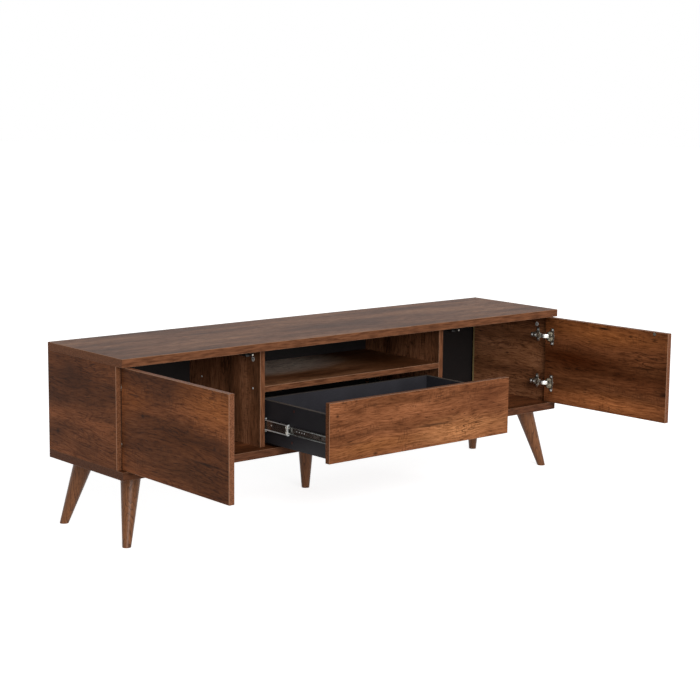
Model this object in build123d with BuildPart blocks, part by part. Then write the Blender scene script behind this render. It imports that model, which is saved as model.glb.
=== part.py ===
from build123d import *
from math import atan, cos, degrees, radians, sqrt, tan
import os

os.makedirs("parts", exist_ok=True)

# A low tv stand on splayed legs: two side bays with push-to-open doors on concealed
# hinges, and between them an open niche over one drawer on telescopic slides.
# It is drawn with both doors open and the drawer pulled out. The origin is the sole of
# the middle leg on the floor: X runs along the length, the front faces -Y, Z is up.

# Driving dimensions, in millimetres and degrees
LENGTH = 1800.0
DEPTH = 410.0
INNER_HEIGHT = 304.0
THICK_BOARD = 25.0  # top and bottom boards
BOARD = 18.0  # sides, dividers, shelf, doors and drawer front
EDGE_BREAK = 0.8
FRONT_SETBACK = 34.0  # uprights stand this far behind the top board's front edge
MIDDLE_BAY = 729.0
SHELF_LIFT = 170.0  # bottom board to the shelf's underside

BACK_SHEET = 3.0
REBATE_DEPTH = 8.0
REBATE_LENGTH = 11.0
SHEET_PLAY = 0.5

LEG_HEIGHT = 205.0
LEG_TOP_D = 62.0
LEG_FOOT_D = 26.0
LEG_SPLAY = 18.5
LEG_INSET_X = 77.0
LEG_INSET_Y = 79.0
MIDDLE_LEG_INSET = 125.0  # from the back
LEG_BOLT_D = 8.0
LEG_BOLT_IN_LEG = 40.0
LEG_BOLT_IN_BOARD = 18.0

CAM_D = 15.0
CAM_DEPTH = 12.5
CAM_DROP = 34.0
CAM_BOLT_D = 6.0
CAM_BOLT_GRIP = 11.0  # length screwed into the top board
FRONT_ROW = 37.0  # front row of fasteners, behind a divider's front edge
SIDE_ROW = 46.0  # and behind a side's front edge
BACK_ROW = 70.0  # back row of fasteners, in front of the back
BASE_SCREW_D = 7.0
BASE_SCREW_GRIP = 32.0
SHELF_SCREW_D = 4.0
SHELF_SCREW_GRIP = 28.0

FRONT_GAP = 3.0  # between closed fronts and the uprights, and between the fronts
EDGE_GAP = 2.0  # above and below the fronts
DOOR_REVEAL = 2.0  # side's outer face to the closed door's edge
LEFT_OPEN = 90.5  # how far the doors stand open here
RIGHT_OPEN = 93.0
HINGE_INSET = 67.0  # hinge centre to the door's top or bottom edge
ARM_PIVOT_IN = 20.0  # arm pivot from the side's inner face
ARM_PIVOT_BACK = 10.2  # arm pivot behind the side's front edge
CUP_PIVOT_EDGE = 9.8  # cup pivot from the door's hinge edge
CUP_PIVOT_DEPTH = 3.0  # cup pivot below the door's inner face
LINK_SHARE = 0.43  # link's turn for each degree of door, the other way
LINK_BULGE = 10.0
LINK_PLATE = 1.8
LINK_WIDTH = 12.4
EYE_R = 2.3
PIN_D = 2.8
RUNNING_FIT = 0.05
PRESS_FIT = 0.02
SIDE_PLAY = 0.3
CUP_D = 35.0
CUP_CENTRE = 22.5  # from the door's hinge edge
CUP_DEPTH = 11.5
CUP_WALL = 0.8
FLANGE = 1.2
FLANGE_WIDTH = 14.0
FLANGE_LENGTH = 60.0
FLANGE_SCREWS = 48.0
FLANGE_OFFSET = 9.5  # screw line beyond the cup's centre
ARM_PLATE = 1.5
ARM_REACH = 26.0  # arm's inner face from the side
ARM_LENGTH = 71.0
PLATE_THICK = 2.5
PLATE_SETBACK = 37.0
PLATE_SCREWS = 32.0
WING_WIDTH = 13.0
WING_LENGTH = 50.0
SCREW_D = 3.6
SCREW_HEAD_D = 7.0
SCREW_HEAD = 1.4
HINGE_SCREW_GRIP = 11.0
LEG_SIDES = 36  # turned and pressed pieces are drawn many-sided: legs,
CUP_SIDES = 24  # cups,
CAM_SIDES = 16  # cam locks, plungers and strikes,
PIN_SIDES = 12  # pins, their eyes and screw heads,
SHANK_SIDES = 6  # and shanks, each in a hole of the same shape

LATCH_FROM_DIVIDER = 47.5
LATCH_DROP = 9.0
LATCH_LENGTH = 62.0
LATCH_WIDTH = 16.0
LATCH_EAR = 9.0
LATCH_EAR_THICK = 3.0
PLUNGER_D = 8.0
PLUNGER_LENGTH = 50.0
PLUNGER_OUT = 25.0  # tip in front of the uprights when sprung out
STRIKE_D = 12.0
STRIKE_THICK = 0.8

DRAWER_OUT = 298.0
DRAWER_BOARD = 12.0
DRAWER_SHEET = 3.0
DRAWER_GROOVE = 6.0
BOX_HEIGHT = 134.0
BOX_LIFT = 9.5
BOX_DEPTH = 345.0
BOX_FLOOR = 10.0  # sheet above the box's lower edge
SLIDE_SPACE = 12.7
SLIDE_STEEL = 1.2
SLIDE_HEIGHT = 45.0
SLIDE_MID_HEIGHT = 34.6
SLIDE_IN_HEIGHT = 25.0
SLIDE_LENGTH = 350.0
SLIDE_MID_LENGTH = 306.0
SLIDE_SETBACK = 2.0
SLIDE_MID_SETBACK = 42.0
SLIDE_LIFT = 58.0  # slide centre above the box's lower edge
DOWEL_D = 6.0
DOWEL_GRIP = 12.0

# Levels and places that follow from them
BACK_Y = MIDDLE_LEG_INSET
FRONT_Y = BACK_Y - DEPTH
CENTRE_Y = (BACK_Y + FRONT_Y) / 2
EDGE_Y = FRONT_Y + FRONT_SETBACK
SHEET_Y = BACK_Y - BACK_SHEET
UNDER_Z = LEG_HEIGHT
FLOOR_Z = UNDER_Z + THICK_BOARD
CEILING_Z = FLOOR_Z + INNER_HEIGHT
TOP_Z = CEILING_Z + THICK_BOARD
MID_Z = (FLOOR_Z + CEILING_Z) / 2
SIDE_FACE_X = LENGTH / 2 - BOARD
DIVIDER_X = MIDDLE_BAY / 2  # inner face of a divider
SHELF_Z = FLOOR_Z + SHELF_LIFT
ROWS = (EDGE_Y + FRONT_ROW, BACK_Y - BACK_ROW)
SIDE_ROWS = (EDGE_Y + SIDE_ROW, BACK_Y - BACK_ROW)
FORWARD = (0, -1, 0)
BACKWARD = (0, 1, 0)
OUTWARD = (1, 0, 0)
INWARD = (-1, 0, 0)
UPWARD = (0, 0, 1)
DOWNWARD = (0, 0, -1)


def write(builder, name):
    """Names a finished piece and writes its file."""
    builder.part.label = name
    export_step(builder.part, f"parts/{name}.step")


def write_hand(builder, name, hand):
    """Writes a piece that is drawn on the right, mirrored if it belongs on the left."""
    with BuildPart() as piece:
        if hand == "left":
            mirror(builder.part, about=Plane.YZ)
        else:
            add(builder.part)
    write(piece, f"{hand}_{name}")


def write_pair(builder, name):
    """Writes a right-hand piece and its mirror image on the left."""
    for hand in ("right", "left"):
        write_hand(builder, name, hand)


def write_both(builder, name):
    """Writes the pieces of the right-hand and left-hand sets as one group."""
    with BuildPart() as both:
        add(builder.part)
        mirror(builder.part, about=Plane.YZ)
    write(both, name)


def block(low, high, mode=Mode.ADD):
    """A box between two opposite corners."""
    with Locations(tuple((a + b) / 2 for a, b in zip(low, high))):
        Box(*(abs(b - a) for a, b in zip(low, high)), mode=mode)


def shank(start, direction, diameter, length, sides=SHANK_SIDES, mode=Mode.ADD):
    """A many-sided shank that runs from a point along a direction."""
    with BuildSketch(Plane(start, z_dir=direction)) as outline:
        RegularPolygon(diameter / 2, sides)
    extrude(outline.sketch, amount=length, mode=mode)


def shank_hole(start, direction, diameter, length, sides=SHANK_SIDES):
    """The hole that a shank of this diameter is pressed into."""
    shank(start, direction, diameter + 2 * PRESS_FIT, length, sides, Mode.SUBTRACT)


def screw(start, direction, grip, diameter=SCREW_D):
    """A pan-head screw whose head stands on the surface at the point."""
    shank(start, Vector(direction) * -1, SCREW_HEAD_D, SCREW_HEAD, PIN_SIDES)
    shank(start, direction, diameter, grip)


# Places shared by the boards and their fasteners, on the right half
side_x = SIDE_FACE_X + BOARD / 2
divider_x = DIVIDER_X + BOARD / 2
upright_rows = ((side_x, SIDE_ROWS), (divider_x, ROWS))
upright_places = [(sign * x, y) for sign in (-1, 1) for x, rows in upright_rows for y in rows]
leg_x = LENGTH / 2 - LEG_INSET_X
leg_y = DEPTH / 2 - LEG_INSET_Y
corner_legs = {
    "front_left": (-1, -1),
    "front_right": (1, -1),
    "back_left": (-1, 1),
    "back_right": (1, 1),
}
leg_tops = [(sx * leg_x, CENTRE_Y + sy * leg_y) for sx, sy in corner_legs.values()]
leg_tops.append((0, 0))
hinge_heights = (FLOOR_Z + EDGE_GAP + HINGE_INSET, CEILING_Z - EDGE_GAP - HINGE_INSET)
latch_x = DIVIDER_X + BOARD + LATCH_FROM_DIVIDER
latch_z = CEILING_Z - LATCH_DROP
latch_ears = [latch_x + side * (LATCH_WIDTH + LATCH_EAR) / 2 for side in (-1, 1)]
latch_ear_y = EDGE_Y + LATCH_LENGTH / 2
box_x = MIDDLE_BAY / 2 - SLIDE_SPACE  # outer face of a drawer side
box_z = FLOOR_Z + BOX_LIFT
slide_z = box_z + SLIDE_LIFT
drawer_y = EDGE_Y - FRONT_GAP - DRAWER_OUT  # back of the drawer front
inner_front = EDGE_Y + SLIDE_SETBACK - DRAWER_OUT  # front end of the slides' inner members
inner_length = drawer_y + BOX_DEPTH - inner_front  # they end flush with the drawer's back
slide_screw_rows = (EDGE_Y + SLIDE_LENGTH * 0.75, EDGE_Y + SLIDE_LENGTH * 0.94)
drawer_screw_rows = (inner_front + inner_length * 0.12, inner_front + inner_length * 0.9)

# Top board: bored underneath for the cam bolts, rebated behind for the back sheet
with BuildPart() as top_board:
    block((-LENGTH / 2, FRONT_Y, CEILING_Z), (LENGTH / 2, BACK_Y, TOP_Z))
    chamfer(top_board.edges(), EDGE_BREAK)
    rebate_x = SIDE_FACE_X + REBATE_DEPTH
    block((-rebate_x, SHEET_Y, CEILING_Z), (rebate_x, BACK_Y, CEILING_Z + REBATE_DEPTH), Mode.SUBTRACT)
    for x, y in upright_places:
        shank_hole((x, y, CEILING_Z), UPWARD, CAM_BOLT_D, CAM_BOLT_GRIP)
    for side in (-1, 1):
        for x in latch_ears:
            shank_hole((side * x, latch_ear_y, CEILING_Z), UPWARD, SCREW_D, HINGE_SCREW_GRIP)
write(top_board, "top_board")

# Bottom board: drilled through for the base screws and bored for the leg bolts
with BuildPart() as bottom_board:
    block((-LENGTH / 2, FRONT_Y, UNDER_Z), (LENGTH / 2, BACK_Y, FLOOR_Z))
    chamfer(bottom_board.edges(), EDGE_BREAK)
    block((-rebate_x, SHEET_Y, FLOOR_Z - REBATE_DEPTH), (rebate_x, BACK_Y, FLOOR_Z), Mode.SUBTRACT)
    for x, y in upright_places:
        shank_hole((x, y, UNDER_Z), UPWARD, BASE_SCREW_D, THICK_BOARD)
    for x, y in leg_tops:
        shank_hole((x, y, UNDER_Z), UPWARD, LEG_BOLT_D, LEG_BOLT_IN_BOARD)
write(bottom_board, "bottom_board")


def upright_bores(x, face_x, direction, rows):
    """Fastener bores of one upright: cam pockets, bolt bores and base screw holes."""
    for y in rows:
        shank_hole((face_x, y, CEILING_Z - CAM_DROP), direction, CAM_D, CAM_DEPTH, CAM_SIDES)
        shank_hole((x, y, CEILING_Z), DOWNWARD, CAM_BOLT_D, CAM_DROP)
        shank_hole((x, y, FLOOR_Z), UPWARD, BASE_SCREW_D, BASE_SCREW_GRIP)


# Sides: rebated behind, bored for the hinge plates
with BuildPart() as side_board:
    block((SIDE_FACE_X, EDGE_Y, FLOOR_Z), (LENGTH / 2, BACK_Y, CEILING_Z))
    chamfer(side_board.edges().filter_by(Axis.Z), EDGE_BREAK)
    rebate_y = BACK_Y - REBATE_LENGTH
    block((SIDE_FACE_X, rebate_y, FLOOR_Z), (rebate_x, BACK_Y, CEILING_Z), Mode.SUBTRACT)
    upright_bores(side_x, SIDE_FACE_X, OUTWARD, SIDE_ROWS)
    for z in hinge_heights:
        for dz in (-PLATE_SCREWS / 2, PLATE_SCREWS / 2):
            place = (SIDE_FACE_X, EDGE_Y + PLATE_SETBACK, z + dz)
            shank_hole(place, OUTWARD, SCREW_D, HINGE_SCREW_GRIP)
write_pair(side_board, "side")

# Dividers: cams on the door bays' side, bored for the shelf screws and the drawer slides
divider_face = DIVIDER_X + BOARD
with BuildPart() as divider:
    block((DIVIDER_X, EDGE_Y, FLOOR_Z), (divider_face, SHEET_Y, CEILING_Z))
    chamfer(divider.edges().filter_by(Axis.Z).group_by(Axis.Y)[0], EDGE_BREAK)
    upright_bores(divider_x, divider_face, INWARD, ROWS)
    for y in ROWS:
        shank_hole((divider_face, y, SHELF_Z + BOARD / 2), INWARD, SHELF_SCREW_D, BOARD)
    for y in slide_screw_rows:
        shank_hole((DIVIDER_X, y, slide_z), OUTWARD, SCREW_D, HINGE_SCREW_GRIP)
    for dz in (-1, 1):
        place = (divider_x, SHEET_Y, MID_Z + dz * INNER_HEIGHT / 4)
        shank_hole(place, FORWARD, SCREW_D, HINGE_SCREW_GRIP)
write_pair(divider, "divider")

with BuildPart() as shelf:
    block((-DIVIDER_X, EDGE_Y, SHELF_Z), (DIVIDER_X, SHEET_Y, SHELF_Z + BOARD))
    chamfer(shelf.edges().filter_by(Axis.X).group_by(Axis.Y)[0], EDGE_BREAK)
    for side in (-1, 1):
        for y in ROWS:
            place = (side * DIVIDER_X, y, SHELF_Z + BOARD / 2)
            shank_hole(place, (-side, 0, 0), SHELF_SCREW_D, SHELF_SCREW_GRIP)
write(shelf, "shelf")

# Back sheet, flush in its rebates and screwed to the dividers
back_screw_places = [
    (side * divider_x, MID_Z + dz * INNER_HEIGHT / 4) for side in (-1, 1) for dz in (-1, 1)
]
with BuildPart() as back_panel:
    sheet_x = rebate_x - SHEET_PLAY
    sheet_low = FLOOR_Z - REBATE_DEPTH + SHEET_PLAY
    sheet_high = CEILING_Z + REBATE_DEPTH - SHEET_PLAY
    block((-sheet_x, SHEET_Y, sheet_low), (sheet_x, BACK_Y, sheet_high))
    for x, z in back_screw_places:
        shank_hole((x, BACK_Y, z), FORWARD, SCREW_D, BACK_SHEET)
write(back_panel, "back_panel")

with BuildPart() as back_screws:
    for x, z in back_screw_places:
        screw((x, BACK_Y, z), FORWARD, BACK_SHEET + HINGE_SCREW_GRIP)
write(back_screws, "back_screws")

# Legs: turned to a straight taper, the corner ones splayed along the diagonal and cut level
top_r = LEG_TOP_D / 2
foot_r = LEG_FOOT_D / 2
foot_reach = LEG_HEIGHT * tan(radians(LEG_SPLAY)) / sqrt(2)
legs = {
    f"leg_{name}": (Vector(x, y, LEG_HEIGHT), Vector(x + sx * foot_reach, y + sy * foot_reach, 0))
    for (name, (sx, sy)), (x, y) in zip(corner_legs.items(), leg_tops)
}
legs["leg_middle"] = (Vector(0, 0, LEG_HEIGHT), Vector(0, 0, 0))
for name, (leg_top, leg_foot) in legs.items():
    axis = leg_foot - leg_top
    taper = (top_r - foot_r) / axis.length
    stock = Plane(leg_top - axis.normalized() * top_r, z_dir=axis)
    with BuildPart() as leg:
        with BuildSketch(stock):
            RegularPolygon(top_r + taper * top_r, LEG_SIDES)
        extrude(amount=axis.length + 2 * top_r)
        flats = [flat for flat in leg.faces() if abs(flat.normal_at().dot(axis.normalized())) < 0.5]
        draft(flats, neutral_plane=stock, angle=degrees(atan(taper * cos(radians(180 / LEG_SIDES)))))
        split(bisect_by=Plane.XY.offset(LEG_HEIGHT), keep=Keep.BOTTOM)
        split(bisect_by=Plane.XY, keep=Keep.TOP)
        shank_hole(leg_top, DOWNWARD, LEG_BOLT_D, LEG_BOLT_IN_LEG)
    write(leg, name)

with BuildPart() as leg_bolts:
    for x, y in leg_tops:
        start = (x, y, LEG_HEIGHT - LEG_BOLT_IN_LEG)
        shank(start, UPWARD, LEG_BOLT_D, LEG_BOLT_IN_LEG + LEG_BOLT_IN_BOARD)
write(leg_bolts, "leg_bolts")

# Cam locks with a cross slot, their bolts, and the screws up through the bottom board
cam_faces = [
    (SIDE_FACE_X, 1, SIDE_ROWS),
    (divider_face, -1, ROWS),
    (-SIDE_FACE_X, -1, SIDE_ROWS),
    (-divider_face, 1, ROWS),
]
with BuildPart() as cam_locks:
    for face_x, into, rows in cam_faces:
        for y in rows:
            place = (face_x, y, CEILING_Z - CAM_DROP)
            shank(place, (into, 0, 0), CAM_D, CAM_DEPTH, CAM_SIDES)
            with Locations(place):
                Box(2.4, 9, 1.6, mode=Mode.SUBTRACT)
                Box(2.4, 1.6, 9, mode=Mode.SUBTRACT)
            socket = (face_x + into * BOARD / 2, y, CEILING_Z - CAM_DROP)
            shank_hole(socket, UPWARD, CAM_BOLT_D, CAM_D)
write(cam_locks, "cam_locks")

with BuildPart() as cam_bolts:
    for x, y in upright_places:
        shank((x, y, CEILING_Z - CAM_DROP), UPWARD, CAM_BOLT_D, CAM_DROP + CAM_BOLT_GRIP)
write(cam_bolts, "cam_bolts")

with BuildPart() as base_screws:
    for x, y in upright_places:
        shank((x, y, UNDER_Z), UPWARD, BASE_SCREW_D, THICK_BOARD + BASE_SCREW_GRIP)
write(base_screws, "base_screws")

with BuildPart() as shelf_screws:
    for side in (-1, 1):
        for y in ROWS:
            place = (side * divider_face, y, SHELF_Z + BOARD / 2)
            screw(place, (-side, 0, 0), BOARD + SHELF_SCREW_GRIP, SHELF_SCREW_D)
write(shelf_screws, "shelf_screws")

# Where the doors hang: the arm's pivot, and the right door's hinge edge and pivot when shut
arm_pivot = Vector(SIDE_FACE_X - ARM_PIVOT_IN, EDGE_Y + ARM_PIVOT_BACK, 0)
closed_corner = Vector(SIDE_FACE_X + BOARD - DOOR_REVEAL, EDGE_Y - FRONT_GAP, 0)
closed_pivot = closed_corner - Vector(CUP_PIVOT_EDGE, CUP_PIVOT_DEPTH, 0)
door_width = closed_corner.X - (DIVIDER_X + BOARD / 2 + FRONT_GAP / 2)
door_low = FLOOR_Z + EDGE_GAP
door_high = CEILING_Z - EDGE_GAP
screw_x = CUP_CENTRE + FLANGE_OFFSET
cup_screw_heights = [z + dz * FLANGE_SCREWS / 2 for z in hinge_heights for dz in (-1, 1)]
strike_x = closed_corner.X - latch_x
cheek = LINK_WIDTH / 2 + SIDE_PLAY

# Doors, drawn on the right and placed by the hinge edge where the swung link holds it
for hand, swing in (("right", RIGHT_OPEN), ("left", LEFT_OPEN)):
    cup_pivot = arm_pivot + (closed_pivot - arm_pivot).rotate(Axis.Z, -LINK_SHARE * swing)
    door_along = Vector(INWARD).rotate(Axis.Z, swing)
    door_through = Vector(FORWARD).rotate(Axis.Z, swing)
    door_corner = cup_pivot - door_along * CUP_PIVOT_EDGE - door_through * CUP_PIVOT_DEPTH
    door_plane = Plane(door_corner, x_dir=door_along, z_dir=UPWARD)
    cup_screw_places = [door_plane.from_local_coords((screw_x, 0, z)) for z in cup_screw_heights]
    flange_screw_places = [place - door_through * FLANGE for place in cup_screw_places]
    cup_centres = [door_plane.from_local_coords((CUP_CENTRE, 0, z)) for z in hinge_heights]
    cup_mouths = [Plane(centre, x_dir=door_along, z_dir=door_through) for centre in cup_centres]

    with BuildPart(door_plane) as door:
        block((0, 0, door_low), (door_width, BOARD, door_high))
        chamfer(door.edges(), EDGE_BREAK)
        for mouth in cup_mouths:
            with BuildSketch(mouth):
                RegularPolygon(CUP_D / 2, CUP_SIDES)
            extrude(amount=CUP_DEPTH + SIDE_PLAY, mode=Mode.SUBTRACT)
        for place in cup_screw_places:
            shank_hole(place, door_through, SCREW_D, HINGE_SCREW_GRIP)
    write_hand(door, "door", hand)

    # Hinge cups: a deep-drawn pot with two cheeks that hold the pin, under a winged flange
    with BuildPart(door_plane) as hinge_cups:
        for z, mouth in zip(hinge_heights, cup_mouths):
            with BuildSketch(mouth):
                RegularPolygon(CUP_D / 2 - RUNNING_FIT, CUP_SIDES)
            extrude(amount=CUP_DEPTH)
            with BuildSketch(mouth) as flange:
                with Locations((FLANGE_OFFSET, 0)):
                    Rectangle(FLANGE_WIDTH, FLANGE_LENGTH)
                chamfer(flange.vertices(), FLANGE_WIDTH / 4)
                RegularPolygon(CUP_D / 2 + FLANGE, CUP_SIDES)
            extrude(amount=-FLANGE)
            with BuildSketch(mouth.offset(-FLANGE)):
                RegularPolygon(CUP_D / 2 - CUP_WALL, CUP_SIDES)
                for side in (-1, 1):
                    with Locations((CUP_PIVOT_EDGE - CUP_CENTRE, side * (cheek + CUP_D / 4))):
                        Rectangle(4 * EYE_R, CUP_D / 2, mode=Mode.SUBTRACT)
            extrude(amount=FLANGE + CUP_DEPTH - CUP_WALL, mode=Mode.SUBTRACT)
            block((0, -FLANGE, z - cheek), (CUP_CENTRE, 0, z + cheek), Mode.SUBTRACT)
            block((0, 0, z - cheek), (CUP_PIVOT_EDGE - EYE_R, 2 * EYE_R, z + cheek), Mode.SUBTRACT)
            shank_hole((cup_pivot.X, cup_pivot.Y, z - CUP_D / 4), UPWARD, PIN_D, CUP_D / 2, PIN_SIDES)
        for place in flange_screw_places:
            shank_hole(place, door_through, SCREW_D, FLANGE)
    write_hand(hinge_cups, "hinge_cups", hand)

    with BuildPart() as cup_screws:
        for place in flange_screw_places:
            screw(place, door_through, FLANGE + HINGE_SCREW_GRIP)
    write_hand(cup_screws, "cup_screws", hand)

    with BuildPart() as cup_pins:
        for z in hinge_heights:
            shank((cup_pivot.X, cup_pivot.Y, z - CUP_D / 4), UPWARD, PIN_D, CUP_D / 2, PIN_SIDES)
    write_hand(cup_pins, "cup_pins", hand)

    with BuildPart() as strike:
        strike_place = door_plane.from_local_coords((strike_x, 0, latch_z))
        shank(strike_place, door_through * -1, STRIKE_D, STRIKE_THICK, CAM_SIDES)
    write_hand(strike, "strike", hand)

    # Hinge links: a goose-necked plate with an eye at each pin
    link_middle = (arm_pivot + cup_pivot) / 2
    link_way = (cup_pivot - arm_pivot).normalized()
    link_crown = link_middle + link_way.rotate(Axis.Z, -90) * LINK_BULGE
    with BuildPart() as hinge_links:
        for z in hinge_heights:
            with BuildSketch(Plane.XY.offset(z - LINK_WIDTH / 2)):
                with BuildLine():
                    ThreePointArc(arm_pivot, link_crown, cup_pivot)
                trace(line_width=LINK_PLATE)
                with Locations(arm_pivot, cup_pivot):
                    RegularPolygon(EYE_R, PIN_SIDES, major_radius=False)
                    RegularPolygon(PIN_D / 2 + RUNNING_FIT, PIN_SIDES, major_radius=False, mode=Mode.SUBTRACT)
            extrude(amount=LINK_WIDTH)
    write_hand(hinge_links, "hinge_links", hand)
    print(hand, "door turns about", cup_pivot, "from its corner", door_corner)

# Hinge arms: a folded channel that reaches forward from the plate to the pin
arm_half = cheek + ARM_PLATE
nose = ARM_PIVOT_BACK - 2 * EYE_R
shoulder = PLATE_SETBACK - WING_WIDTH
with BuildPart() as hinge_arms:
    for z in hinge_heights:
        with BuildSketch(Plane((SIDE_FACE_X, EDGE_Y, z - arm_half))):
            with BuildLine():
                Polyline(
                    (-ARM_PIVOT_IN + 2 * EYE_R, nose),
                    (-ARM_REACH + EYE_R, nose),
                    (-ARM_REACH, nose + EYE_R),
                    (-ARM_REACH, ARM_LENGTH),
                    (-PLATE_THICK - 2 * ARM_PLATE, ARM_LENGTH),
                    (-PLATE_THICK - 2 * ARM_PLATE, shoulder),
                    (-ARM_PIVOT_IN + 2 * EYE_R, ARM_PIVOT_BACK + 2 * EYE_R),
                    close=True,
                )
            make_face()
        extrude(amount=2 * arm_half)
        channel_x = SIDE_FACE_X - ARM_REACH + ARM_PLATE
        block((channel_x, EDGE_Y, z - cheek), (SIDE_FACE_X, EDGE_Y + ARM_LENGTH, z + cheek), Mode.SUBTRACT)
        open_y = arm_pivot.Y + 2 * EYE_R
        block((channel_x - ARM_REACH, EDGE_Y, z - cheek), (channel_x, open_y, z + cheek), Mode.SUBTRACT)
        shank_hole((arm_pivot.X, arm_pivot.Y, z - arm_half), UPWARD, PIN_D, 2 * arm_half, PIN_SIDES)
write_pair(hinge_arms, "hinge_arms")

with BuildPart() as arm_pins:
    for z in hinge_heights:
        shank((arm_pivot.X, arm_pivot.Y, z - arm_half), UPWARD, PIN_D, 2 * arm_half, PIN_SIDES)
write_both(arm_pins, "arm_pins")

# Mounting plates: a winged base with the raised rail that the arm sits on
plate_x = SIDE_FACE_X - PLATE_THICK
plate_y = EDGE_Y + PLATE_SETBACK
rail_half = cheek - SIDE_PLAY
plate_screw_places = [(plate_y, z + dz * PLATE_SCREWS / 2) for z in hinge_heights for dz in (-1, 1)]
with BuildPart() as hinge_plates:
    for z in hinge_heights:
        with BuildSketch(Plane((plate_x, plate_y, z), x_dir=BACKWARD, z_dir=OUTWARD)) as base:
            Rectangle(WING_WIDTH, WING_LENGTH)
            chamfer(base.vertices(), WING_WIDTH / 4)
            with Locations((ARM_LENGTH - PLATE_SETBACK - WING_WIDTH, 0)):
                Rectangle(2 * WING_WIDTH, 2 * arm_half)
        extrude(amount=PLATE_THICK)
        rail_end = EDGE_Y + ARM_LENGTH - 2 * ARM_PLATE
        block((channel_x, plate_y - WING_WIDTH / 2, z - rail_half), (plate_x, rail_end, z + rail_half))
    for y, z in plate_screw_places:
        shank_hole((plate_x, y, z), OUTWARD, SCREW_D, PLATE_THICK)
write_pair(hinge_plates, "hinge_plates")

with BuildPart() as plate_screws:
    for y, z in plate_screw_places:
        screw((plate_x, y, z), OUTWARD, PLATE_THICK + HINGE_SCREW_GRIP)
write_both(plate_screws, "plate_screws")

# Push latches: an eared housing under the top board and a sprung plunger, drawn sprung out
tip_y = EDGE_Y - PLUNGER_OUT
with BuildPart() as latch:
    half = LATCH_WIDTH / 2
    block((latch_x - half, EDGE_Y, latch_z - half), (latch_x + half, EDGE_Y + LATCH_LENGTH, CEILING_Z))
    chamfer(latch.edges().filter_by(Axis.Y).group_by(Axis.Z)[0], 2 * FLANGE)
    ear = half + LATCH_EAR
    ear_low = CEILING_Z - LATCH_EAR_THICK
    ear_front = latch_ear_y - LATCH_EAR
    ear_back = latch_ear_y + LATCH_EAR
    block((latch_x - ear, ear_front, ear_low), (latch_x + ear, ear_back, CEILING_Z))
    plunger_bore = PLUNGER_D + 4 * RUNNING_FIT
    mouth_place = (latch_x, EDGE_Y, latch_z)
    shank(mouth_place, BACKWARD, plunger_bore, LATCH_LENGTH - FLANGE, CAM_SIDES, Mode.SUBTRACT)
    for x in latch_ears:
        shank_hole((x, latch_ear_y, ear_low), UPWARD, SCREW_D, LATCH_EAR_THICK)
write_pair(latch, "latch_housing")

with BuildPart() as latch_screws:
    for x in latch_ears:
        screw((x, latch_ear_y, ear_low), UPWARD, LATCH_EAR_THICK + HINGE_SCREW_GRIP)
write_both(latch_screws, "latch_screws")

with BuildPart() as plunger:
    shank((latch_x, tip_y, latch_z), BACKWARD, PLUNGER_D, PLUNGER_LENGTH, CAM_SIDES)
write_pair(plunger, "latch_plunger")

# Drawer: a front board on a box of thin boards, its bottom sheet let into grooves
front_x = DIVIDER_X + BOARD / 2 - FRONT_GAP / 2
front_low = FLOOR_Z + EDGE_GAP
front_high = SHELF_Z + BOARD - 2 * EDGE_GAP
box_back_y = drawer_y + BOX_DEPTH
sheet_z = box_z + BOX_FLOOR
groove_x = box_x - DRAWER_BOARD + DRAWER_GROOVE
dowel_x = box_x - DRAWER_BOARD / 2
dowel_heights = (box_z + BOX_HEIGHT * 0.3, box_z + BOX_HEIGHT * 0.8)
groove_low = sheet_z - 2 * RUNNING_FIT
groove_high = sheet_z + DRAWER_SHEET + 2 * RUNNING_FIT

with BuildPart() as drawer_front:
    block((-front_x, drawer_y - BOARD, front_low), (front_x, drawer_y, front_high))
    chamfer(drawer_front.edges(), EDGE_BREAK)
    block((-groove_x, drawer_y - DRAWER_GROOVE, groove_low), (groove_x, drawer_y, groove_high), Mode.SUBTRACT)
    for side in (-1, 1):
        for z in dowel_heights:
            shank_hole((side * dowel_x, drawer_y, z), FORWARD, DOWEL_D, DOWEL_GRIP)
write(drawer_front, "drawer_front")

with BuildPart() as drawer_side:
    block((box_x - DRAWER_BOARD, drawer_y, box_z), (box_x, box_back_y, box_z + BOX_HEIGHT))
    chamfer(drawer_side.edges().filter_by(Axis.Y).group_by(Axis.Z)[-1], EDGE_BREAK)
    block((box_x - DRAWER_BOARD, drawer_y, groove_low), (groove_x, box_back_y, groove_high), Mode.SUBTRACT)
    for z in dowel_heights:
        shank_hole((dowel_x, drawer_y, z), BACKWARD, DOWEL_D, 2 * DOWEL_GRIP)
        back_hole = (box_x, box_back_y - DRAWER_BOARD / 2, z)
        shank_hole(back_hole, INWARD, SCREW_D, DRAWER_BOARD)
    for y in drawer_screw_rows:
        shank_hole((box_x, y, slide_z), INWARD, SCREW_D, DRAWER_BOARD - 2 * FLANGE)
write_pair(drawer_side, "drawer_side")

with BuildPart() as drawer_back:
    back_x = box_x - DRAWER_BOARD
    block((-back_x, box_back_y - DRAWER_BOARD, groove_high), (back_x, box_back_y, box_z + BOX_HEIGHT))
    chamfer(drawer_back.edges().filter_by(Axis.X).group_by(Axis.Z)[-1], EDGE_BREAK)
    for side in (-1, 1):
        for z in dowel_heights:
            place = (side * back_x, box_back_y - DRAWER_BOARD / 2, z)
            shank_hole(place, (-side, 0, 0), SCREW_D, 2 * HINGE_SCREW_GRIP)
write(drawer_back, "drawer_back")

with BuildPart() as drawer_bottom:
    tongue_x = groove_x - SHEET_PLAY
    tongue_y = drawer_y - DRAWER_GROOVE + SHEET_PLAY
    block((-tongue_x, tongue_y, sheet_z), (tongue_x, box_back_y, sheet_z + DRAWER_SHEET))
write(drawer_bottom, "drawer_bottom")

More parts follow.
